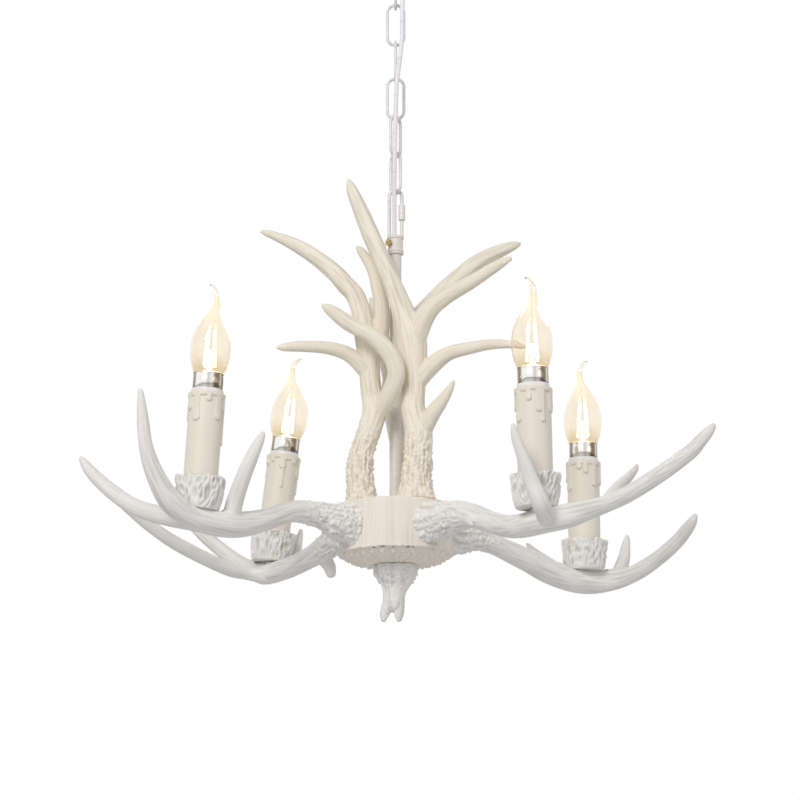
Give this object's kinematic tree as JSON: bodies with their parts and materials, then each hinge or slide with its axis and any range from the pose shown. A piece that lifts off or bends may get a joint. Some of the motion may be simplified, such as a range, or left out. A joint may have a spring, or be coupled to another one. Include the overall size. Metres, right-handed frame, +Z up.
{
  "type": "antler chandelier",
  "caption": "Chain-hung chandelier of cast antlers: curved antler arms carry candle lamps in bark cups round a turned hub, with upright antlers and a stem above it.",
  "frame": {"origin": "centre of the bracket's slot pattern, on the face that lies on the ceiling", "axes": "+Z up out of the ceiling face, +X to the right and -Y to the front as the picture shows it"},
  "size_m": [0.5749, 0.428, 0.698],
  "materials": {
    "antler_white": "matt cast resin, painted cool white",
    "antler_warm": "matt cast resin, painted white, lit warm",
    "hub_resin": "matt cast resin with fine upright grain",
    "cup_bark": "matt cast resin with bark relief",
    "candle_ivory": "satin ivory plastic with wax drips",
    "holder_white": "white thermoplastic",
    "bulb_metal": "polished nickel",
    "bulb_glass": "clear glass",
    "filament": "light strips on a glass stem, lit warm white",
    "chain_paint": "satin off-white paint",
    "stem_paint": "satin off-white paint",
    "canopy_paint": "satin white paint",
    "steel": "zinc-plated steel",
    "brass": "dulled brass",
    "cable_sheath": "soft pale PVC",
    "bush_rubber": "white rubber",
    "terminal_plastic": "natural nylon"
  },
  "bodies": {
    "ceiling_fitting": {"ceiling_bracket": "steel", "bracket_nuts": "steel", "canopy": "canopy_paint", "canopy_nipple": "steel", "canopy_loop": "chain_paint", "cable_bush": "bush_rubber", "terminal_block": "terminal_plastic", "supply_cable": "cable_sheath"},
    "chain_link_1": {"chain_link_1": "chain_paint"},
    "chain_link_2": {"chain_link_2": "chain_paint"},
    "chain_link_3": {"chain_link_3": "chain_paint"},
    "chain_link_4": {"chain_link_4": "chain_paint"},
    "chain_link_5": {"chain_link_5": "chain_paint"},
    "chain_link_6": {"chain_link_6": "chain_paint"},
    "fixture": {"arm_bolts": "steel", "arm_front_left": "antler_white", "arm_front_right": "antler_white", "arm_rear_left": "antler_white", "arm_rear_right": "antler_white", "candle_front_left": "candle_ivory", "candle_front_right": "candle_ivory", "candle_rear_left": "candle_ivory", "candle_rear_right": "candle_ivory", "collar_screw": "brass", "cup_front_left": "cup_bark", "cup_front_right": "cup_bark", "cup_rear_left": "cup_bark", "cup_rear_right": "cup_bark", "finial": "hub_resin", "finial_stud": "steel", "holder_front_left": "holder_white", "holder_front_right": "holder_white", "holder_rear_left": "holder_white", "holder_rear_right": "holder_white", "hub_body": "hub_resin", "hub_plate": "steel", "hub_underside": "hub_resin", "lamp_nipples": "steel", "stem_bail": "chain_paint", "stem_collar": "stem_paint", "stem_nuts": "steel", "stem_tube": "stem_paint", "upright_left": "antler_warm", "upright_rear": "antler_warm", "upright_right": "antler_warm", "upright_screws": "steel", "wire_connectors": "terminal_plastic"},
    "bail_sleeve": {"bail_sleeve": "chain_paint"},
    "bulb_front_left": {"cap_front_left": "bulb_metal", "glass_front_left": "bulb_glass", "filament_front_left": "filament"},
    "bulb_front_right": {"cap_front_right": "bulb_metal", "glass_front_right": "bulb_glass", "filament_front_right": "filament"},
    "bulb_rear_right": {"cap_rear_right": "bulb_metal", "glass_rear_right": "bulb_glass", "filament_rear_right": "filament"},
    "bulb_rear_left": {"cap_rear_left": "bulb_metal", "glass_rear_left": "bulb_glass", "filament_rear_left": "filament"}
  },
  "joints": [
    {"name": "swing_chain_link_1", "type": "hinge", "parent": "ceiling_fitting", "child": "chain_link_1", "pos_m": [0, 0, -0.0709], "axis": [1, 0, 0], "range_deg": [-20, 20], "deforming": ["supply_cable"]},
    {"name": "swing_chain_link_2", "type": "hinge", "parent": "chain_link_1", "child": "chain_link_2", "pos_m": [0, 0, -0.1076], "axis": [0, 1, 0], "range_deg": [-20, 20], "deforming": ["supply_cable"]},
    {"name": "swing_chain_link_3", "type": "hinge", "parent": "chain_link_2", "child": "chain_link_3", "pos_m": [0, 0, -0.1446], "axis": [1, 0, 0], "range_deg": [-20, 20], "deforming": ["supply_cable"]},
    {"name": "swing_chain_link_4", "type": "hinge", "parent": "chain_link_3", "child": "chain_link_4", "pos_m": [0, 0, -0.1816], "axis": [0, 1, 0], "range_deg": [-20, 20], "deforming": ["supply_cable"]},
    {"name": "swing_chain_link_5", "type": "hinge", "parent": "chain_link_4", "child": "chain_link_5", "pos_m": [0, 0, -0.2186], "axis": [1, 0, 0], "range_deg": [-20, 20], "deforming": ["supply_cable"]},
    {"name": "swing_chain_link_6", "type": "hinge", "parent": "chain_link_5", "child": "chain_link_6", "pos_m": [0, 0, -0.2556], "axis": [0.5736, 0.8192, 0], "range_deg": [-20, 20], "deforming": ["supply_cable"]},
    {"name": "swing_fixture", "type": "hinge", "parent": "chain_link_6", "child": "fixture", "pos_m": [0, 0, -0.2926], "axis": [-0.5736, 0.8192, 0], "range_deg": [-20, 20], "deforming": ["supply_cable"]},
    {"name": "sleeve_travel", "type": "slide", "parent": "fixture", "child": "bail_sleeve", "axis": [0, 0, -1], "range_m": [0, 0.012]},
    {"name": "unscrew_bulb_front_left", "type": "slide", "parent": "fixture", "child": "bulb_front_left", "axis": [0.061, 0, 0.9981], "range_m": [0, 0.028]},
    {"name": "unscrew_bulb_front_right", "type": "slide", "parent": "fixture", "child": "bulb_front_right", "axis": [-0.0157, 0, 0.9999], "range_m": [0, 0.028]},
    {"name": "unscrew_bulb_rear_right", "type": "slide", "parent": "fixture", "child": "bulb_rear_right", "axis": [0, 0, 1], "range_m": [0, 0.028]},
    {"name": "unscrew_bulb_rear_left", "type": "slide", "parent": "fixture", "child": "bulb_rear_left", "axis": [0.1184, 0, 0.993], "range_m": [0, 0.028]}
  ]
}
